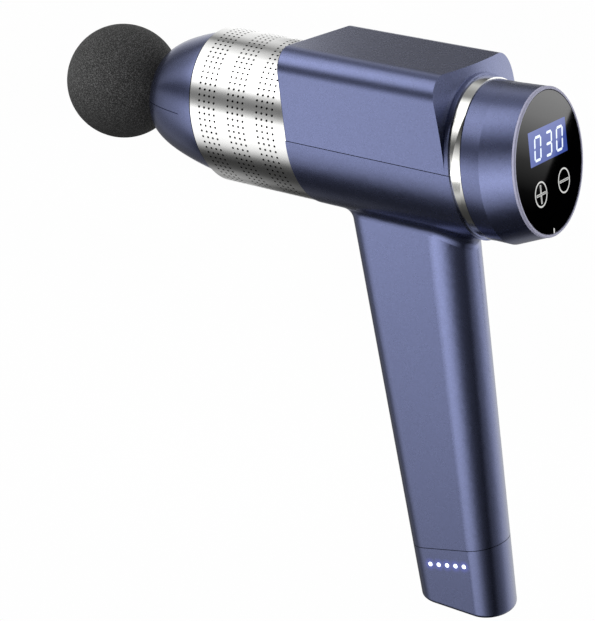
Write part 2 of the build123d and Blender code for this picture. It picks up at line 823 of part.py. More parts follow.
# ------------------------------------------------------------------ attachment
PLUG_X = -72.5
GROOVE_X, GROOVE_W = -62, 2.4
COLLAR_X, COLLAR_R = -84.0, 10.2
SPIGOT_X, SPIGOT_R = -106, 6.5


def head_stem():
    # collar between ball and piston, spigot in the ball, plug with ring groove
    with BuildPart() as stem:
        disc(x_plane(COLLAR_X), COLLAR_R, PLUG_X - COLLAR_X)
        disc(x_plane(SPIGOT_X), SPIGOT_R, 22.4)
        disc(x_plane(PLUG_X), SOCKET_R - 0.08, 21.0)
        disc(x_plane(GROOVE_X), 12, GROOVE_W, bore=7.6, mode=Mode.SUBTRACT)
        chamfer(stem.edges().filter_by(GeomType.CIRCLE).sort_by(Axis.X)[-1:], 0.8)
    return stem.part


def head_o_ring():
    with BuildPart() as o_ring:
        with BuildSketch(Plane.XY):
            with Locations((GROOVE_X + GROOVE_W / 2, 8.33)):
                Circle(0.7)
        revolve(axis=Axis.X)
    return o_ring.part


def head_ball():
    with BuildPart() as ball:
        with Locations((BALL_X, 0, 0)):
            Sphere(BALL_R)
        disc(x_plane(SPIGOT_X - 0.2), SPIGOT_R + 0.05, 40, mode=Mode.SUBTRACT)
        disc(x_plane(COLLAR_X - 0.1), COLLAR_R + 0.1, 10, mode=Mode.SUBTRACT)
    return ball.part


# Each function gives its name to the piece and to its file.
for make in (
    front_cone, muzzle_seal, perforated_sleeve, sleeve_liner, housing_upper, housing_lower,
    trim_ring, display_cap, display_bezel, display_glass, touch_board, display_module,
    control_board, board_components, board_screws,
    chassis, suspension_grommets, suspension_screws, front_isolator, guide_bush, wiper_seal,
    piston, wrist_pin, connecting_rod, small_end_bush, big_end_bearing, crank_pin, crank_disc,
    motor_shaft, motor_base, motor_screws, motor_bearings, stator_core, stator_windings,
    rotor_bell, rotor_magnets,
    battery_cells, nickel_strips, cell_holders, battery_board,
    end_cap, led_light_pipes, led_board, end_cap_screw, rocker_body, power_rocker, charge_port,
    head_stem, head_o_ring, head_ball,
):
    piece = make()
    piece.label = make.__name__
    export_step(piece, f"parts/{make.__name__}.step")
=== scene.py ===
"""A massage gun with a foam ball head: finishes, sleeve, ball, lit display and studio.

The barrel lies along X with the ball towards -X. The display window faces +X and a
little up, and the end cap with its battery lights is low, towards -Z. The tool's own
sizes are in millimetres, turned to metres by MM as vertices are made. Values inside
materials and lights are in metres.
"""
import math

import bmesh
import bpy
from mathutils import Matrix, Vector, noise


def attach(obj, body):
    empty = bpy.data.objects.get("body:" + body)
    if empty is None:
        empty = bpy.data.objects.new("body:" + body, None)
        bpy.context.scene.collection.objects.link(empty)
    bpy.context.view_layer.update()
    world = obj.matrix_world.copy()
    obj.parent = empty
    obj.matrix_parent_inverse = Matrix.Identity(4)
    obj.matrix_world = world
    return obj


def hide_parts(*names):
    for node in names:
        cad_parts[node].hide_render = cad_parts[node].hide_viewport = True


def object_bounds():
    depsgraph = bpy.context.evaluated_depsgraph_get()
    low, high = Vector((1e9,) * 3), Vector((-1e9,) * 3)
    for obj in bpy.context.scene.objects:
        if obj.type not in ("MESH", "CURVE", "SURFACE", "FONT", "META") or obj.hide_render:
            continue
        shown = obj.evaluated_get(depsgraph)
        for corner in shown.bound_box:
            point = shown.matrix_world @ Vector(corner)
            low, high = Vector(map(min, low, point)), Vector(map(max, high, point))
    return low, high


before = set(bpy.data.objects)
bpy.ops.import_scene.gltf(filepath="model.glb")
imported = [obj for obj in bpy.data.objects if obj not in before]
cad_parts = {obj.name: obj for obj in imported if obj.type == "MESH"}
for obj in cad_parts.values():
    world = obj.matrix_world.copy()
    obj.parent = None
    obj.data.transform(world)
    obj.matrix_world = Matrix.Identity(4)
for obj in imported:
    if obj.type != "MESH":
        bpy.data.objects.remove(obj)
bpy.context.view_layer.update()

MM = 0.001
SLANT = math.radians(11.0)  # lean of the sleeve's ends and of the display window

scene = bpy.context.scene
scene.view_settings.view_transform = "Standard"
scene.view_settings.look = "None"


# ---------------------------------------------------------------- node helpers
SOCKETS = {
    "color": "Base Color", "metal": "Metallic", "rough": "Roughness", "normal": "Normal",
    "coat": "Coat Weight", "coat_rough": "Coat Roughness", "coat_ior": "Coat IOR",
    "ior": "IOR", "spec": "Specular IOR Level",
    "glow": "Emission Color", "glow_strength": "Emission Strength",
}


class Net:
    """A node tree with short calls for the node kinds used here."""

    def __init__(self, tree):
        self.tree = tree
        tree.nodes.clear()

    def add(self, kind, **props):
        node = self.tree.nodes.new(kind)
        for key, value in props.items():
            setattr(node, key, value)
        return node

    def put(self, socket, value):
        """Link a socket to an output, or set its value."""
        if isinstance(value, bpy.types.NodeSocket):
            self.tree.links.new(value, socket)
        elif socket.type == "RGBA":
            socket.default_value = (*value, 1)
        else:
            socket.default_value = value

    def surface(self, **values):
        for key, value in values.items():
            self.put(self.shader.inputs[SOCKETS[key]], value)

    def math(self, operation, first, second=0.0, third=0.0):
        node = self.add("ShaderNodeMath", operation=operation)
        for socket, value in zip(node.inputs, (first, second, third)):
            self.put(socket, value)
        return node.outputs[0]

    def times(self, product, *factors):
        for factor in factors:
            product = self.math("MULTIPLY", product, factor)
        return product

    def affine(self, value, gain, base):
        return self.math("MULTIPLY_ADD", value, gain, base)

    def around(self, value, centre, spread):
        """Spread a 0 to 1 value evenly about a centre."""
        return self.affine(value, gain=spread, base=centre - spread / 2)

    def clamp(self, value, low, high):
        return self.math("MAXIMUM", self.math("MINIMUM", value, high), low)

    def dim(self, value, mask, by):
        """Take the share `by` off the value where the mask is 1."""
        return self.times(value, self.affine(mask, gain=-by, base=1.0))

    def vector_math(self, operation, first, second, output):
        node = self.add("ShaderNodeVectorMath", operation=operation)
        self.put(node.inputs[0], first)
        self.put(node.inputs[1], second)
        return node.outputs[output]

    def dot(self, first, second):
        return self.vector_math("DOT_PRODUCT", first, tuple(second), "Value")

    def scale_vector(self, vector, factor):
        node = self.add("ShaderNodeVectorMath", operation="SCALE")
        self.put(node.inputs[0], vector)
        self.put(node.inputs["Scale"], factor)
        return node.outputs[0]

    def smooth(self, value, over, out=(0.0, 1.0), kind="SMOOTHSTEP"):
        """Map the range `over` to the range `out`, easing at both ends."""
        node = self.add("ShaderNodeMapRange", interpolation_type=kind)
        for i, setting in enumerate((value, *over, *out)):
            self.put(node.inputs[i], setting)
        return node.outputs[0]

    def linear(self, value, over, out=(0.0, 1.0)):
        return self.smooth(value, over, out, kind="LINEAR")

    def ramp(self, value, stops):
        """Grey ramp through (position, level) stops."""
        node = self.add("ShaderNodeValToRGB")
        node.color_ramp.interpolation = "LINEAR"
        elements = node.color_ramp.elements
        while len(elements) < len(stops):
            elements.new(0.5)
        # a first pass over the positions guards against elements changing order as they move
        for element, (position, _) in zip(elements, stops):
            element.position = position
        for element, (position, level) in zip(elements, stops):
            element.position = position
            element.color = (level, level, level, 1)
        self.put(node.inputs[0], value)
        return node.outputs["Color"]

    def mix(self, factor, first, second):
        node = self.add("ShaderNodeMix", data_type="RGBA")
        for i, value in ((0, factor), (6, first), (7, second)):
            self.put(node.inputs[i], value)
        return node.outputs[2]

    def blend(self, factor, first, second):
        node = self.add("ShaderNodeMix", data_type="FLOAT")
        for i, value in ((0, factor), (2, first), (3, second)):
            self.put(node.inputs[i], value)
        return node.outputs[0]

    def point(self):
        return self.add("ShaderNodeTexCoord").outputs["Object"]

    def split(self, vector):
        node = self.add("ShaderNodeSeparateXYZ")
        self.put(node.inputs[0], vector)
        return node.outputs

    def texture(self, kind, scale, stretch=(1, 1, 1), **props):
        node = self.add("ShaderNodeTex" + kind, **props)
        mapping = self.add("ShaderNodeMapping")
        self.put(mapping.inputs[0], self.point())
        mapping.inputs["Scale"].default_value = stretch
        self.put(node.inputs["Vector"], mapping.outputs[0])
        node.inputs["Scale"].default_value = scale
        return node

    def noise(self, scale, detail=2.0, rough=0.5, stretch=(1, 1, 1)):
        node = self.texture("Noise", scale, stretch)
        node.inputs["Detail"].default_value = detail
        node.inputs["Roughness"].default_value = rough
        return node.outputs["Fac"]

    def bump(self, height, distance, strength):
        node = self.add("ShaderNodeBump")
        node.inputs["Strength"].default_value = strength
        node.inputs["Distance"].default_value = distance
        self.put(node.inputs["Height"], height)
        return node.outputs["Normal"]


def material(name, build, **settings):
    made = bpy.data.materials.new(name)
    made.use_nodes = True
    net = Net(made.node_tree)
    output = net.add("ShaderNodeOutputMaterial")
    net.shader = net.add("ShaderNodeBsdfPrincipled")
    net.put(output.inputs["Surface"], net.shader.outputs[0])
    build(net, **settings)
    return made


def scaled(color, factor):
    return tuple(channel * factor for channel in color)


# ---------------------------------------------------------------- materials
LAVENDER = (0.146, 0.168, 0.312)
LED_Y = -0.0143
# x, z of each battery light, mm
LED_PLACES = ((68.9, -176.9), (72.85, -175.98), (76.8, -175.05), (80.75, -174.13), (84.7, -173.2))


def paint(net, tint=LAVENDER, rough=0.27, coat=0.3, metal=1.0):
    """Satin metallic paint: fine flake, faint orange peel, slow drift, and painted shade that
    darkens it low down.
    """
    flake = net.add("ShaderNodeSeparateColor")
    net.put(flake.inputs[0], net.texture("Voronoi", scale=2600).outputs["Color"])
    # slow drift and flake, times a painted shade that darkens the paint towards the bottom
    shade = net.times(
        net.around(net.noise(scale=18), centre=1.0, spread=0.10),
        net.around(flake.outputs[0], centre=1.0, spread=0.14),
        net.linear(net.split(net.point())["Z"], over=(-0.19, -0.035), out=(0.62, 1.0)))
    net.surface(
        color=net.scale_vector(tint, shade), metal=metal,
        rough=net.around(net.noise(scale=240, detail=3), centre=rough, spread=0.05),
        coat=coat, coat_rough=0.16, coat_ior=1.5,
        normal=net.bump(net.noise(scale=900), distance=0.000004, strength=0.6))


def paint_with_painted_glow(net):
    """Paint with a painted glow: faint blue emission round each battery light stands in for the
    light it spills.
    """
    paint(net)
    point = net.point()
    total = None
    for x, z in LED_PLACES:
        away = net.vector_math("DISTANCE", point, (x * MM, LED_Y, z * MM), "Value")
        near = net.smooth(away, over=(0.0009, 0.0034), out=(1.0, 0.0))
        total = near if total is None else net.math("MAXIMUM", total, near)
    # painted glow: emission on the paint near each battery light
    net.surface(glow=(0.05, 0.06, 0.42), glow_strength=net.times(total, 0.42))


def metal(net, color, rough, stretch, scale, spread, depth, tone):
    """Metal whose roughness and relief follow one streak pattern."""
    streak = net.noise(scale, detail=3, rough=0.6, stretch=stretch)
    net.surface(
        color=net.mix(net.noise(scale=35), scaled(color, 1 - tone), color), metal=1.0,
        rough=net.around(streak, centre=rough, spread=spread),
        normal=net.bump(streak, distance=depth, strength=0.7))


def plastic(net, color, rough, scale=1400, depth=0.00001, tone=0.12, spec=0.5):
    grain = net.noise(scale)
    slow = net.noise(scale=40, detail=3)
    net.surface(
        color=net.mix(slow, scaled(color, 1 - tone), scaled(color, 1 + tone)), spec=spec,
        rough=net.around(grain, centre=rough, spread=0.12),
        normal=net.bump(grain, distance=depth, strength=0.6))


def foam(net):
    """Closed-cell foam skin, with pale specks between the cells, and painted shade that darkens it
    low down.
    """
    color = (0.056, 0.056, 0.056)
    cells = net.linear(net.texture("Voronoi", scale=1500).outputs["Distance"], over=(0.1, 0.8))
    grain = net.noise(scale=2300, detail=3, rough=0.65)
    slow = net.noise(scale=70, detail=3)
    grain_share, cell_share = 0.75, 0.35
    height = net.math("ADD", net.times(grain, grain_share), net.times(cells, cell_share))
    dark = net.mix(slow, scaled(color, 0.35), scaled(color, 0.6))
    speckled = net.mix(net.smooth(grain, over=(0.46, 0.62)), dark, scaled(color, 2.6))
    # painted shade: the ball's colour darkens towards the bottom
    shade = net.linear(net.split(net.point())["Z"], over=(-0.024, 0.004), out=(0.42, 1.12))
    net.surface(color=net.scale_vector(speckled, shade), rough=0.82, spec=0.3,
                normal=net.bump(height, distance=0.00016, strength=0.9))


def circuit_board(net):
    brick = net.texture("Brick", scale=260)
    brick.inputs["Mortar Size"].default_value = 0.03
    tracks = brick.outputs["Fac"]
    color = net.mix(net.times(tracks, 0.8), (0.012, 0.11, 0.045), (0.03, 0.2, 0.07))
    color = net.mix(net.times(net.noise(scale=900), 0.3), color, (0.01, 0.07, 0.03))
    net.surface(color=color, rough=0.35, coat=0.4, coat_rough=0.2,
                normal=net.bump(tracks, distance=0.00003, strength=0.5))


def copper(net):
    """Enamelled wire: bands stacked along Z."""
    wave = net.texture("Wave", scale=420, wave_type="BANDS", bands_direction="Z")
    wave.inputs["Distortion"].default_value = 0.4
    wires = wave.outputs["Fac"]
    net.surface(color=net.mix(wires, (0.30, 0.09, 0.03), (0.75, 0.30, 0.12)),
                metal=0.9, rough=0.3, coat=0.5, coat_rough=0.15,
                normal=net.bump(wires, distance=0.0002, strength=0.8))


def cell_sleeve(net):
    fine = net.noise(scale=1600)
    blue = net.mix(net.noise(scale=120, detail=3), (0.03, 0.13, 0.30), (0.05, 0.20, 0.42))
    net.surface(color=blue, rough=net.around(fine, centre=0.325, spread=0.15),
                coat=0.6, coat_rough=0.12, normal=net.bump(fine, distance=0.00001, strength=0.5))


def black_glass(net):
    dust = net.smooth(net.noise(scale=2600), over=(0.7, 0.85), out=(0.0, 0.15))
    net.surface(color=net.mix(dust, (0.0006, 0.0006, 0.0008), (0.004, 0.004, 0.005)), ior=1.5,
                rough=net.around(net.noise(scale=40), centre=0.018, spread=0.012))


def lit_print(net, glow, strength):
    """A slightly uneven lit print with the window's own gloss."""
    uneven = net.around(net.noise(scale=260), centre=1.0, spread=0.1)
    net.surface(color=(0.002, 0.002, 0.003), rough=0.02, ior=1.5, glow=glow,
                glow_strength=net.times(uneven, strength))


def lit_panel(net):
    """Display background, its blue changing across Y."""
    across = net.linear(net.split(net.point())["Y"], over=(-0.016, 0.016))
    net.surface(color=(0.004, 0.006, 0.02), rough=0.02, ior=1.5,
                glow=net.mix(across, (0.14, 0.18, 0.46), (0.045, 0.08, 0.35)),
                glow_strength=net.around(net.noise(scale=300), centre=0.94, spread=0.16))


def battery_light(net):
    net.surface(color=(0.8, 0.85, 0.95), rough=0.35, glow=(0.86, 0.92, 1.0),
                glow_strength=net.around(net.noise(scale=700), centre=1.5, spread=0.4))


# key: name, color, roughness, streak stretch, streak scale, roughness spread, relief (m),
# share by which the tone drifts darker
METALS = {
    "steel": ("polished_steel", (0.90, 0.90, 0.89), 0.135, (1, 14, 14), 160, 0.05, 0.000002, 0.03),
    # near-black metal for the sleeve's hole walls and inner wall: painted shade inside the holes
    "hole_shade": ("punched_edge", (0.05, 0.05, 0.05), 0.5, (1, 1, 1), 2500, 0.2, 0.00001, 0.08),
    "ring": ("brushed_ring", (0.80, 0.80, 0.77), 0.13, (26, 1, 1), 120, 0.07, 0.000004, 0.06),
    "alu": ("cast_aluminium", (0.66, 0.67, 0.69), 0.42, (1, 1, 1), 700, 0.2, 0.00002, 0.08),
    "bright": ("ground_steel", (0.60, 0.60, 0.61), 0.22, (1, 30, 30), 200, 0.12, 0.000008, 0.08),
    "laminate": ("laminated_steel", (0.40, 0.41, 0.43), 0.4, (1, 1, 60), 60, 0.2, 0.00003, 0.08),
    "bronze": ("sintered_bronze", (0.52, 0.34, 0.14), 0.5, (1, 1, 1), 1600, 0.2, 0.00003, 0.08),
    "magnet": ("plated_magnet", (0.35, 0.35, 0.36), 0.35, (1, 1, 1), 900, 0.15, 0.00001, 0.08),
    "nickel": ("nickel_strip", (0.62, 0.60, 0.55), 0.3, (30, 30, 1), 90, 0.12, 0.00001, 0.08),
}
METAL_SETTINGS = ("color", "rough", "stretch", "scale", "spread", "depth", "tone")

MATERIALS = {
    "paint": material("lavender_paint", paint),
    "paint_rim": material("lavender_rim", paint, tint=(0.52, 0.52, 0.70), rough=0.5, coat=0.1,
                          metal=0.25),
    "paint_cap": material("lavender_cap", paint_with_painted_glow),
    "black": material("black_moulding", plastic, color=(0.016, 0.016, 0.018), rough=0.55),
    # near-black liner: partly its own black, partly painted shade for the dark line between cone
    # and sleeve and behind the holes
    "liner": material("black_liner_painted_shade", plastic, color=(0.004, 0.004, 0.0045), rough=0.8, spec=0.15),
    "rubber": material("soft_rubber", plastic, color=(0.012, 0.012, 0.012), rough=0.8,
                       scale=900, depth=0.00003, spec=0.3),
    "foam": material("ball_foam", foam),
    "copper": material("enamelled_copper", copper),
    "board": material("circuit_board", circuit_board),
    "parts": material("board_parts", plastic, color=(0.02, 0.02, 0.022), rough=0.4, tone=0.5),
    "cell": material("cell_sleeve", cell_sleeve),
    "holder": material("cell_holder_plastic", plastic, color=(0.32, 0.32, 0.30), rough=0.5),
    "glass": material("black_glass", black_glass),
    "lcd": material("lcd_panel_lit", lit_panel),
    "digit": material("lcd_segment_lit", lit_print, glow=(0.80, 0.88, 1.0), strength=1.15),
    "icon": material("touch_icon_lit", lit_print, glow=(0.82, 0.82, 0.80), strength=0.82),
    "icon_dim": material("touch_icon_fill", lit_print, glow=(0.55, 0.55, 0.54), strength=0.42),
    "led": material("battery_light", battery_light),
}
for key, (name, *settings) in METALS.items():
    MATERIALS[key] = material(name, metal, **dict(zip(METAL_SETTINGS, settings)))

# material: starts of the names of the pieces that wear it; any other piece is black
FINISHES = {
    "paint": "front_cone housing_upper housing_lower display_cap",
    "paint_rim": "display_bezel",
    "paint_cap": "end_cap",
    "steel": "perforated_sleeve",
    "liner": "sleeve_liner",
    "ring": "trim_ring",
    "glass": "display_glass",
    "board": "touch_board control_board battery_board led_board",
    "parts": "display_module board_components",
    "rubber": "muzzle_seal suspension_grommets front_isolator wiper_seal head_o_ring",
    "alu": "chassis connecting_rod motor_base rotor_bell",
    "bright": "board_screws suspension_screws piston wrist_pin big_end_bearing crank_pin "
              "motor_shaft motor_screws motor_bearings end_cap_screw",
    "bronze": "guide_bush small_end_bush",
    "laminate": "crank_disc stator_core",
    "copper": "stator_windings",
    "magnet": "rotor_magnets",
    "cell": "battery_cells",
    "nickel": "nickel_strips charge_port",
    "holder": "cell_holders",
    "led": "led_light_pipes",
    "foam": "head_ball",
}
FINISH_OF = {start: key for key, starts in FINISHES.items() for start in starts.split()}
for name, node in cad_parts.items():
    key = FINISH_OF.get(name)
    if key is None:
        key = next((FINISH_OF[start] for start in FINISH_OF if name.startswith(start)), "black")
    node.data.materials.clear()
    node.data.materials.append(MATERIALS[key])
    for polygon in node.data.polygons:
        polygon.material_index = 0


# ---------------------------------------------------------------- mesh helpers
def add_object(mesh, key, body, sharp=None):
    """Link a mesh as an object; smooth up to the angle `sharp` in degrees, if given."""
    if sharp is not None:
        mesh.shade_smooth()
        mesh.set_sharp_from_angle(angle=math.radians(sharp))
    mesh.materials.append(MATERIALS[key])
    made = bpy.data.objects.new(mesh.name, mesh)
    scene.collection.objects.link(made)
    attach(made, body)
    return made


def closed_mesh(name, verts, faces):
    """Mesh with its faces turned outwards."""
    mesh = bpy.data.meshes.new(name)
    mesh.from_pydata([tuple(v) for v in verts], [], faces)
    mesh.update()
    bm = bmesh.new()
    bm.from_mesh(mesh)
    bmesh.ops.recalc_face_normals(bm, faces=bm.faces)
    bm.to_mesh(mesh)
    bm.free()
    mesh.validate()
    return mesh


# ---------------------------------------------------------------- perforated sleeve
OUTER_R, INNER_R = 32.0, 31.4
SLEEVE_FRONT, SLEEVE_REAR = -47.2, -0.1  # x of the two ends on the axis
EDGE_EASE = 0.1  # the outer edge drops by this at each end
EDGE_STRIP = 0.3
HOLE_R = 0.50
HOLES_ROUND = 82
CELL_STEPS = 4  # mesh steps along each side of the cell round a hole
BAND_MARGIN = 1.22  # from a band's outer rows of holes to its edge
# x of the rows of holes, one line per band
HOLE_BANDS = (
    (-42.4, -39.9, -37.5, -35.1),
    (-28.2, -25.8, -23.3, -20.9),
    (-14.0, -11.5, -9.0, -6.4),
)


def sleeve_stations():
    """The x stations of the mesh, and (first station, hole x) for each row of holes."""
    stations = [SLEEVE_FRONT, SLEEVE_FRONT + EDGE_EASE, SLEEVE_FRONT + EDGE_STRIP]
    rows = []
    for band in HOLE_BANDS:
        stations.append(band[0] - BAND_MARGIN)
        for i, hole_x in enumerate(band):
            start = stations[-1]
            last = i == len(band) - 1
            end = hole_x + BAND_MARGIN if last else (hole_x + band[i + 1]) / 2
            rows.append((len(stations) - 1, hole_x))
            stations += [start + (end - start) * k / CELL_STEPS for k in range(1, CELL_STEPS + 1)]
    stations += [SLEEVE_REAR - EDGE_STRIP, SLEEVE_REAR - EDGE_EASE, SLEEVE_REAR]
    return stations, rows


def perforated_sleeve():
    """Slanted steel tube with bands of round holes, every hole cut through."""
    columns = HOLES_ROUND * CELL_STEPS
    lean = math.tan(SLANT)
    stations, rows = sleeve_stations()
    last = len(stations) - 1
    verts, faces, dark = [], [], []
    index = {}

    def add_vert(x, radius, angle):
        verts.append((x * MM, radius * math.cos(angle) * MM, radius * math.sin(angle) * MM))
        return len(verts) - 1

    def vert(layer, station, column):
        """Grid vertex; layer 0 is the outer wall and layer 1 the inner."""
        key = (layer, station, column % columns)
        if key not in index:
            angle = 2 * math.pi * (column % columns) / columns
            ease = EDGE_EASE if station in (0, last) else 0.0
            radius = INNER_R if layer else OUTER_R - ease
            x = stations[station] - radius * math.sin(angle) * lean
            index[key] = add_vert(x, radius, angle)
        return index[key]

    def add_quad(layer, *corners):
        if layer == 1:
            dark.append(len(faces))
        faces.append(corners if layer == 0 else corners[::-1])

    # plain strips between the bands and at both ends
    pierced = {first + k for first, _ in rows for k in range(CELL_STEPS)}
    for i in range(last):
        if i in pierced:
            continue
        for j in range(columns):
            for layer in (0, 1):
                add_quad(layer, vert(layer, i, j), vert(layer, i + 1, j),
                         vert(layer, i + 1, j + 1), vert(layer, i, j + 1))

    # one square cell round each hole
    for first, hole_x in rows:
        for j in range(0, columns, CELL_STEPS):
            steps = range(CELL_STEPS)
            end, far = first + CELL_STEPS, j + CELL_STEPS
            border = [(first + k, j) for k in steps] + [(end, j + k) for k in steps]
            border += [(end - k, far) for k in steps] + [(first, far - k) for k in steps]
            count = len(border)
            centre = 2 * math.pi * (j + CELL_STEPS / 2) / columns
            rims = []
            for radius in (OUTER_R, INNER_R):
                rim = []
                for k in range(count):
                    turn = math.radians(-135.0) + 2 * math.pi * k / count
                    x = hole_x + HOLE_R * math.cos(turn) - OUTER_R * math.sin(centre) * lean
                    rim.append(add_vert(x, radius, centre + HOLE_R * math.sin(turn) / OUTER_R))
                rims.append(rim)
            for k in range(count):
                after = (k + 1) % count
                for layer, rim in enumerate(rims):
                    add_quad(layer, vert(layer, *border[k]), vert(layer, *border[after]),
                             rim[after], rim[k])
                dark.append(len(faces))
                faces.append((rims[0][k], rims[0][after], rims[1][after], rims[1][k]))

    # the wall's thickness at the two ends
    for j in range(columns):
        faces.append((vert(0, 0, j), vert(0, 0, j + 1), vert(1, 0, j + 1), vert(1, 0, j)))
        faces.append((vert(0, last, j + 1), vert(0, last, j),
                      vert(1, last, j), vert(1, last, j + 1)))

    mesh = closed_mesh("perforated_shell", verts, faces)
    shell = add_object(mesh, "steel", "root", sharp=40)
    # the inner wall and the hole walls wear near-black metal: painted shade inside the holes
    mesh.materials.append(MATERIALS["hole_shade"])
    for i in dark:
        mesh.polygons[i].material_index = 1
    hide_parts("perforated_sleeve")


perforated_sleeve()


# ---------------------------------------------------------------- foam ball
BALL_X = -106.5
BALL_R = 24.95
MOUTH_R = 10.6  # opening on the barrel side
RECESS_R = 10.3
RECESS_FLOOR_X = -84.05
BORE_R = 6.55
BORE_END = 0.35  # x from the ball's centre


def off_axis(vert):
    return math.hypot(vert.co.y, vert.co.z)


def to_ring(verts, radius, x):
    for vert in verts:
        distance = off_axis(vert)
        vert.co.y *= radius / distance
        vert.co.z *= radius / distance
        vert.co.x = x


def pit_depth(point):
    fine = noise.noise(point * 1.15) * 0.5 + 0.5
    broad = noise.noise(point * 0.45 + Vector((9, 3, 5))) * 0.5 + 0.5
    return max(0.0, fine - 0.55) * 0.22 + broad * 0.03


def foam_ball():
    """Foam ball with a collar recess and a stem bore, its skin pitted below the sphere."""
    bm = bmesh.new()
    bmesh.ops.create_icosphere(bm, subdivisions=7, radius=BALL_R)
    opened = [v for v in bm.verts if v.co.x > 0 and off_axis(v) < MOUTH_R]
    bmesh.ops.delete(bm, geom=opened, context="VERTS")
    edges = [edge for edge in bm.edges if edge.is_boundary]
    rim = {vert for edge in edges for vert in edge.verts}
    to_ring(rim, MOUTH_R, math.sqrt(BALL_R**2 - MOUTH_R**2))

    # pits fade out over this distance from the mouth
    fade_width = 1.5
    for vert in bm.verts:
        if vert in rim:
            continue
        fade = min(1.0, (off_axis(vert) - MOUTH_R) / fade_width) if vert.co.x > 0 else 1.0
        vert.co *= 1.0 - pit_depth(vert.co) * max(0.0, fade) / BALL_R

    # recess wall, recess floor, bore wall, bore end
    floor_x = RECESS_FLOOR_X - BALL_X
    for radius, x in ((RECESS_R, floor_x), (BORE_R, floor_x), (BORE_R, BORE_END)):
        made = bmesh.ops.extrude_edge_only(bm, edges=edges)["geom"]
        to_ring([item for item in made if isinstance(item, bmesh.types.BMVert)], radius, x)
        edges = [e for e in made if isinstance(e, bmesh.types.BMEdge) and e.is_boundary]
    bmesh.ops.contextual_create(bm, geom=edges)

    for vert in bm.verts:
        vert.co.x += BALL_X
        vert.co *= MM
    bmesh.ops.recalc_face_normals(bm, faces=bm.faces)
    mesh = bpy.data.meshes.new("foam_ball")
    bm.to_mesh(mesh)
    bm.free()
    ball = add_object(mesh, "foam", "head", sharp=50)
    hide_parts("head_ball")


foam_ball()


# ---------------------------------------------------------------- display window
# Window frame: across runs along +Y, up leans back by the slant, out is the normal.
FACE_ORIGIN = Vector((101.6, 0.0, 3.3))
FACE_ACROSS = Vector((0, 1, 0))
FACE_UP = Vector((-math.sin(SLANT), 0, math.cos(SLANT)))
FACE_OUT = Vector((math.cos(SLANT), 0, math.sin(SLANT)))
GLASS_OUT = -0.2  # the glass surface, along FACE_OUT

DIGIT_UP, DIGIT_HEIGHT = 7.3, 9.9
# centre across, width, lit bars
DIGITS = ((-8.6, 6.0, "abcdef"), (0.9, 5.6, "abcdg"), (10.2, 6.0, "abcdef"))
BAR_HALF = 0.52  # half thickness of a digit's bar
BAR_CUT = 0.16  # gap left at each end of a bar
DIGIT_LEAN = 0.14

PLUS_AT, MINUS_AT = (-9.4, -10.7), (10.85, -9.8)
PLUS_R, MINUS_R = 5.15, 5.1
PLUS_REACH, MINUS_REACH = 3.9, 4.0  # half lengths of the level bars
RING_WIDTH = 0.62
ICON_HALF = 0.5  # half thickness of the icons' bars
UPRIGHT_START, UPRIGHT_END = 0.55, 3.7  # each upright bar, from the plus's centre
ICON_LINE = 0.24  # width of the bright line round a bar


def on_face(across, up, out):
    return (FACE_ORIGIN + FACE_ACROSS * across + FACE_UP * up + FACE_OUT * out) * MM


def plates(name, key, outlines, top, bottom=-0.02, holes=None):
    """Thin closed plates, one per (across, up) outline; top and bottom are from the glass.

    Each outline becomes a ring where holes are given.
    """
    verts, faces = [], []

    def add_rings(outline):
        for level in (bottom, top):
            verts.extend(on_face(across, up, GLASS_OUT + level) for across, up in outline)

    for outline, hole in zip(outlines, holes or [None] * len(outlines)):
        n = len(outline)
        base = len(verts)
        add_rings(outline)
        for i in range(n):
            j = (i + 1) % n
            faces.append((base + i, base + j, base + n + j, base + n + i))
        if hole is None:
            faces.append(tuple(base + n + i for i in range(n)))
            faces.append(tuple(base + n - 1 - i for i in range(n)))
            continue
        inner = len(verts)
        add_rings(hole)
        for i in range(n):
            j = (i + 1) % n
            faces.append((base + n + i, base + n + j, inner + n + j, inner + n + i))
            faces.append((base + j, base + i, inner + i, inner + j))
            faces.append((inner + j, inner + i, inner + n + i, inner + n + j))
    add_object(closed_mesh(name, verts, faces), key, "root")


def rounded_rect(left, low, right, high, radius, steps):
    points = []
    corners = ((right - radius, high - radius), (left + radius, high - radius),
               (left + radius, low + radius), (right - radius, low + radius))
    for quarter, (across, up) in enumerate(corners):
        for k in range(steps + 1):
            turn = math.radians(90 * quarter + 90 * k / steps)
            points.append((across + radius * math.cos(turn), up + radius * math.sin(turn)))
    return points


def circle(centre, radius, steps=64):
    turns = [2 * math.pi * k / steps for k in range(steps)]
    return [(centre[0] + radius * math.cos(turn), centre[1] + radius * math.sin(turn))
            for turn in turns]


def digit_bar(start, end):
    """Outline of one bar with pointed ends, sheared by the digit's lean."""
    along = (Vector(end) - Vector(start)).normalized()
    half_along = along * BAR_HALF
    half_side = Vector((-along.y, along.x)) * BAR_HALF
    tip, tail = Vector(start) + along * BAR_CUT, Vector(end) - along * BAR_CUT
    points = (tip + half_along - half_side, tail - half_along - half_side, tail,
              tail - half_along + half_side, tip + half_along + half_side, tip)
    return [(point.x + DIGIT_LEAN * point.y, point.y) for point in points]


def digit_outlines(centre, width, lit):
    """Seven-segment bars: a to f clockwise from the top, g across the middle."""
    w, h = width / 2 - BAR_HALF, DIGIT_HEIGHT / 2 - BAR_HALF
    ends = {
        "a": ((-w, h), (w, h)), "b": ((w, h), (w, 0)), "c": ((w, 0), (w, -h)),
        "d": ((-w, -h), (w, -h)), "e": ((-w, -h), (-w, 0)), "f": ((-w, 0), (-w, h)),
        "g": ((-w, 0), (w, 0)),
    }
    return [[(across + centre, up + DIGIT_UP) for across, up in digit_bar(*ends[bar])]
            for bar in lit]


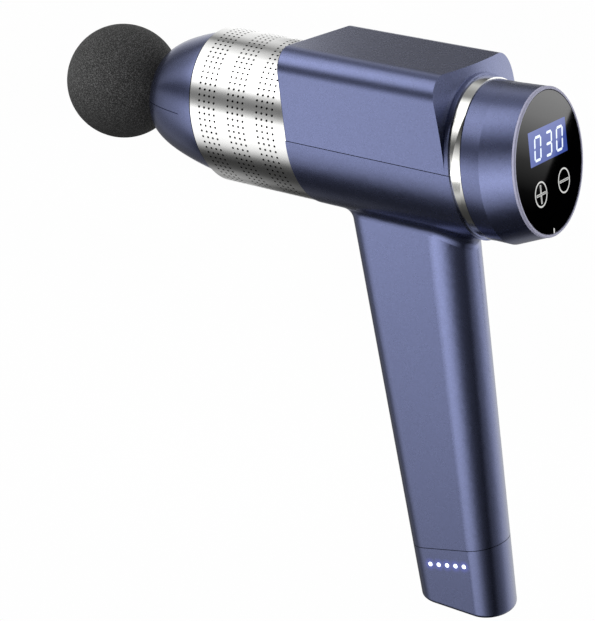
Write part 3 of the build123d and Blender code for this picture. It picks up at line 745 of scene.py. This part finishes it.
def outlined_bars(bars, suffix=""):
    """Bars with a bright line round a dimmer fill."""
    outer = [rounded_rect(*bar, radius=0.12, steps=3) for bar in bars]
    inner = [rounded_rect(left + ICON_LINE, low + ICON_LINE, right - ICON_LINE,
                          high - ICON_LINE, radius=0.08, steps=3)
             for left, low, right, high in bars]
    plates("touch_bars" + suffix, "icon", outer, top=0.05, holes=inner)
    plates("touch_bar_fill" + suffix, "icon_dim", inner, top=0.04)


def display():
    panel = rounded_rect(left=-15.65, low=1.1, right=16.3, high=14.65, radius=0.25, steps=6)
    plates("lcd_panel", "lcd", [panel], top=0.02)
    bars = [bar for digit in DIGITS for bar in digit_outlines(*digit)]
    plates("lcd_digits", "digit", bars, top=0.05, bottom=0.0)

    rings = ((PLUS_AT, PLUS_R), (MINUS_AT, MINUS_R))
    plates("touch_rings", "icon", [circle(at, radius) for at, radius in rings], top=0.03,
           holes=[circle(at, radius - RING_WIDTH) for at, radius in rings])
    outlined_bars([
        (across - reach, up - ICON_HALF, across + reach, up + ICON_HALF)
        for (across, up), reach in ((PLUS_AT, PLUS_REACH), (MINUS_AT, MINUS_REACH))])
    across, up = PLUS_AT
    outlined_bars([
        (across - ICON_HALF, up + low, across + ICON_HALF, up + high)
        for low, high in ((-UPRIGHT_END, -UPRIGHT_START), (UPRIGHT_START, UPRIGHT_END))],
        suffix="_upright")

    mark = [(-1.9, -26.6), (-1.5, -26.0), (-0.9, -26.4), (-1.0, -28.15), (-1.9, -28.1)]
    plates("index_mark", "icon", [mark], top=0.03)


display()


# ---------------------------------------------------------------- studio
CAM_RIGHT = Vector((0.8383437, 0.5438409, 0.0376424))
CAM_UP = Vector((-0.2236037, 0.2800723, 0.9335742))
CAM_BACK = Vector((0.4971733, -0.7910730, 0.3564017))
CAM_AT = Vector((424.524, -693.790, 226.974)) * MM
CAM_LENS = 117.6372754

# Light from each direction: (angle about the barrel in degrees, level). 0 is towards -Y,
# 90 is up and -90 is down. This table is for directions nearest the nose.
BANDS_NOSE = (
    (-168, 1.1), (-154, 0.9), (-142, 0.45), (-128, 0.32), (-117, 0.42), (-105, 0.28),
    (-95, 0.1), (-85, 0.05), (-76, 0.04), (-67, 0.1), (-61, 0.28), (-52, 0.8), (-45, 1.08),
    (-32, 1.25), (-18, 1.72), (-9, 1.75), (0, 1.3), (7, 0.56), (14, 0.25), (21, 0.2),
    (29, 0.33), (36, 0.85), (45, 1.9), (55, 2.4), (68, 2.2), (80, 1.45), (92, 1.3),
    (104, 1.05), (112, 0.75), (123, 0.18), (145, 0.9), (170, 1.1),
)
# the same a little further towards +X
BANDS_MID = (
    (-168, 1.1), (-154, 0.75), (-142, 0.1), (-123, 0.03), (-111, 0.1), (-90, 0.04),
    (-73, 0.05), (-61, 0.1), (-54, 0.28), (-47, 0.62), (-41, 0.85), (-34, 1.08), (-28, 1.22),
    (-18, 1.72), (-9, 1.75), (0, 1.3), (7, 0.6), (14, 0.2), (22, 0.14), (30, 0.32),
    (38, 1.0), (46, 1.9), (55, 2.3), (72, 2.7), (90, 1.7), (102, 0.25), (115, 0.35),
    (131, 0.65), (147, 0.42), (156, 0.16), (169, 0.11), (177, 0.9),
)
# the same for the rear row of soft boxes, past the gap between the two rows
BANDS_REAR = (
    (-180, 1.1), (-150, 0.6), (-120, 0.06), (-80, 0.03), (-60, 0.08), (-48, 0.6), (-36, 1.15),
    (-26, 1.9), (-11, 2.2), (2, 1.6), (16, 0.75), (29, 0.15), (55, 0.05), (71, 0.2),
    (87, 0.6), (104, 0.55), (140, 0.9), (180, 1.2),
)
# (x of the direction, level) for the front row, the rear row and the boxes towards +Y
ALONG_FRONT = ((-1, 0.15), (-0.86, 0.4), (-0.71, 0.8), (-0.55, 1.0), (-0.4, 1.0), (1.0, 1.0))
ALONG_REAR = (
    (-0.3, 1.0), (-0.19, 0.95), (0.11, 0.85), (0.41, 0.5), (0.66, 0.15), (0.86, 0.06),
    (1.0, 0.07),
)
ALONG_BACK = (
    (-1.0, 0.3), (-0.5, 0.45), (-0.35, 0.5), (-0.2, 0.75), (0.0, 1.0), (0.28, 1.35),
    (0.44, 1.5), (0.6, 1.35), (0.72, 1.15), (0.82, 1.1), (0.92, 0.5), (1.0, 0.3),
)

# The panel mirrored in the window, by the camera rays that meet its reflection. Each ray is
# its (right, up) slopes from the camera's axis.
PANEL_CENTRE = (0.12443064, 0.07318000)
PANEL_EDGE_LOW = (0.12196666, 0.06430970)
PANEL_EDGE_HIGH = (0.13477932, 0.09880532)
PANEL_FALL_LOW = (0.11063239, 0.05051145)
PANEL_FALL_HIGH = (0.12738741, 0.10570444)
# (place from low to high, level)
PANEL_FALL = ((0.0, 0.0), (0.15, 0.015), (0.4, 0.14), (0.6, 0.42), (0.8, 0.8), (1.0, 1.0))
PANEL_LEVEL = 2.05


def off_window(slopes):
    """Direction of a camera ray after it mirrors in the display window."""
    right, up = slopes
    ray = (CAM_RIGHT * right + CAM_UP * up - CAM_BACK).normalized()
    return (ray - 2 * ray.dot(FACE_OUT) * FACE_OUT).normalized()


def light_table(net, place, rows, start, span):
    """Level read from rows that cover `span` from `start`; place runs from 0 to 1."""
    top = max(level for _, level in rows)
    stops = [((at - start) / span, level / top) for at, level in rows]
    return net.times(net.ramp(place, stops), top)


def room_light(net, direction):
    """Level of the soft boxes and flags in each direction."""
    x, y, z = net.split(direction)
    angle = net.math("ARCTAN2", z, net.times(y, -1.0))
    turn = net.affine(angle, gain=1 / (2 * math.pi), base=0.5)

    def by_angle(rows):
        return light_table(net, turn, rows, start=-180, span=360)

    def by_x(value, rows):
        place = net.affine(value, gain=0.5, base=0.5)
        return light_table(net, place, rows, start=-1, span=2)

    # front row, with a low fill ahead of the nose and a dark space below and behind it
    past_nose = net.smooth(x, over=(-0.532, -0.517))
    front = net.blend(past_nose, by_angle(BANDS_NOSE), by_angle(BANDS_MID))
    front = net.times(front, by_x(x, ALONG_FRONT))
    fill = net.times(net.smooth(x, over=(-0.62, -0.8)), net.smooth(z, over=(0.25, -0.35)))
    fill_level = 0.26
    front = net.math("ADD", front, net.times(fill, fill_level))
    under = net.times(net.smooth(y, over=(0.1, 0.25)), net.smooth(z, over=(0.0, -0.2)))
    under = net.times(net.smooth(x, over=(-0.575, -0.61)), under)
    front = net.dim(front, under, by=0.6)

    # the rear row reaches further back low down
    lowered = net.clamp(net.math("ADD", z, 0.2), low=-0.13, high=0.0)
    rear = net.times(by_angle(BANDS_REAR), by_x(net.affine(lowered, gain=2.5, base=x), ALONG_REAR))

    # so does the dim gap between the two rows
    lowered = net.clamp(net.math("ADD", z, 0.35), low=-0.1, high=0.0)
    gap_x = net.affine(lowered, gain=1.2, base=x)
    gap = net.times(
        net.smooth(gap_x, over=(-0.452, -0.436)),
        net.smooth(gap_x, over=(-0.37, -0.32), out=(1.0, 0.0)),
        net.smooth(net.math("ABSOLUTE", z), over=(0.55, 0.7), out=(1.0, 0.0)))
    sides = net.blend(net.smooth(gap_x, over=(-0.438, -0.4)), front, rear)
    sides = net.dim(sides, gap, by=0.75)

    # boxes towards +Y, with a flag in front of them and less light low down
    flag = net.times(
        net.times(net.smooth(z, over=(-0.02, 0.05)), net.smooth(z, over=(0.3, 0.2))),
        net.times(net.smooth(x, over=(0.45, 0.54)), net.smooth(x, over=(0.76, 0.69))))
    back = net.dim(by_x(x, ALONG_BACK), flag, by=0.9)
    low = net.times(net.smooth(z, over=(-0.12, -0.24)), net.smooth(x, over=(0.7, 0.8)))
    back = net.dim(back, low, by=0.5)
    back = net.times(back, net.smooth(z, over=(-0.56, -0.42), out=(0.45, 1.0)))

    # these start at a lower y towards +X
    back_y = net.affine(net.smooth(x, over=(0.55, 0.8)), gain=-0.45, base=0.35)
    in_back = net.times(
        net.smooth(net.math("SUBTRACT", y, back_y), over=(0.0, 0.3)),
        net.smooth(x, over=(-0.44, -0.3)),
        net.smooth(z, over=(0.75, 0.45)))
    return net.blend(in_back, sides, back)


def window_panel(net, direction):
    """Mask and level of the panel mirrored in the window: a sharp edge and a fall-off."""
    mask = net.smooth(net.dot(direction, off_window(PANEL_CENTRE)),
                      over=(math.cos(math.radians(5.0)), math.cos(math.radians(3.6))))
    # normal of the plane through the edge, towards the lit side
    edge = off_window(PANEL_EDGE_LOW).cross(off_window(PANEL_EDGE_HIGH)).normalized()
    lit = net.linear(net.dot(direction, edge), over=(-0.0003, 0.0003))
    high, low = off_window(PANEL_FALL_HIGH), off_window(PANEL_FALL_LOW)
    run = (high - low).normalized()
    fall = net.linear(net.dot(direction, run), over=(low.dot(run), high.dot(run)))
    return mask, net.times(lit, net.ramp(fall, PANEL_FALL), PANEL_LEVEL)


def studio_world():
    world = bpy.data.worlds.new("studio")
    scene.world = world
    world.use_nodes = True
    net = Net(world.node_tree)
    output = net.add("ShaderNodeOutputWorld")
    background = net.add("ShaderNodeBackground")
    net.put(output.inputs["Surface"], background.outputs[0])
    direction = net.add("ShaderNodeTexCoord").outputs["Generated"]
    mask, panel = window_panel(net, direction)
    light = net.blend(mask, room_light(net, direction), panel)
    # the camera itself sees a plain pale backdrop
    seen = net.add("ShaderNodeLightPath").outputs["Is Camera Ray"]
    net.put(background.inputs["Color"], (1.0, 1.0, 1.0))
    net.put(background.inputs["Strength"], net.blend(seen, light, 1.0))


def add_floor():
    """Pale floor just under the tool, seen by the camera only."""
    half = 3.0
    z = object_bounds()[0].z - 0.0002
    mesh = bpy.data.meshes.new("floor")
    corners = [(-half, -half, z), (half, -half, z), (half, half, z), (-half, half, z)]
    mesh.from_pydata(corners, [], [(0, 1, 2, 3)])
    floor = bpy.data.objects.new("floor", mesh)
    scene.collection.objects.link(floor)
    pale = bpy.data.materials.new("pale_floor")
    pale.use_nodes = True
    net = Net(pale.node_tree)
    output = net.add("ShaderNodeOutputMaterial")
    emission = net.add("ShaderNodeEmission")
    tone = net.mix(net.noise(scale=3), (0.985, 0.985, 0.985), (1.0, 1.0, 1.0))
    net.put(emission.inputs["Color"], tone)
    net.put(output.inputs["Surface"], emission.outputs[0])
    mesh.materials.append(pale)
    for kind in ("diffuse", "glossy", "transmission", "shadow"):
        setattr(floor, "visible_" + kind, False)


def add_key_light():
    """Soft key from the upper front for the matt parts, kept out of reflections."""
    light = bpy.data.lights.new("key_soft", "AREA")
    light.shape = "RECTANGLE"
    light.size, light.size_y = 0.9, 0.7
    light.energy = 5.0
    key = bpy.data.objects.new("key_soft", light)
    away = Vector((-0.65, -0.75, 0.95))
    facing = away.to_track_quat("Z", "Y").to_matrix().to_4x4()
    key.matrix_world = Matrix.Translation((-0.75, -0.75, 0.95)) @ facing
    key.visible_glossy = False
    scene.collection.objects.link(key)


def add_camera():
    camera = bpy.data.cameras.new("camera")
    camera.sensor_width = 36.0
    camera.sensor_fit = "AUTO"
    camera.lens = CAM_LENS
    camera.clip_start, camera.clip_end = 0.05, 20.0
    holder = bpy.data.objects.new("camera", camera)
    facing = Matrix((CAM_RIGHT, CAM_UP, CAM_BACK)).transposed().to_4x4()
    holder.matrix_world = Matrix.Translation(CAM_AT) @ facing
    scene.collection.objects.link(holder)
    scene.camera = holder


studio_world()
add_floor()
add_key_light()
add_camera()
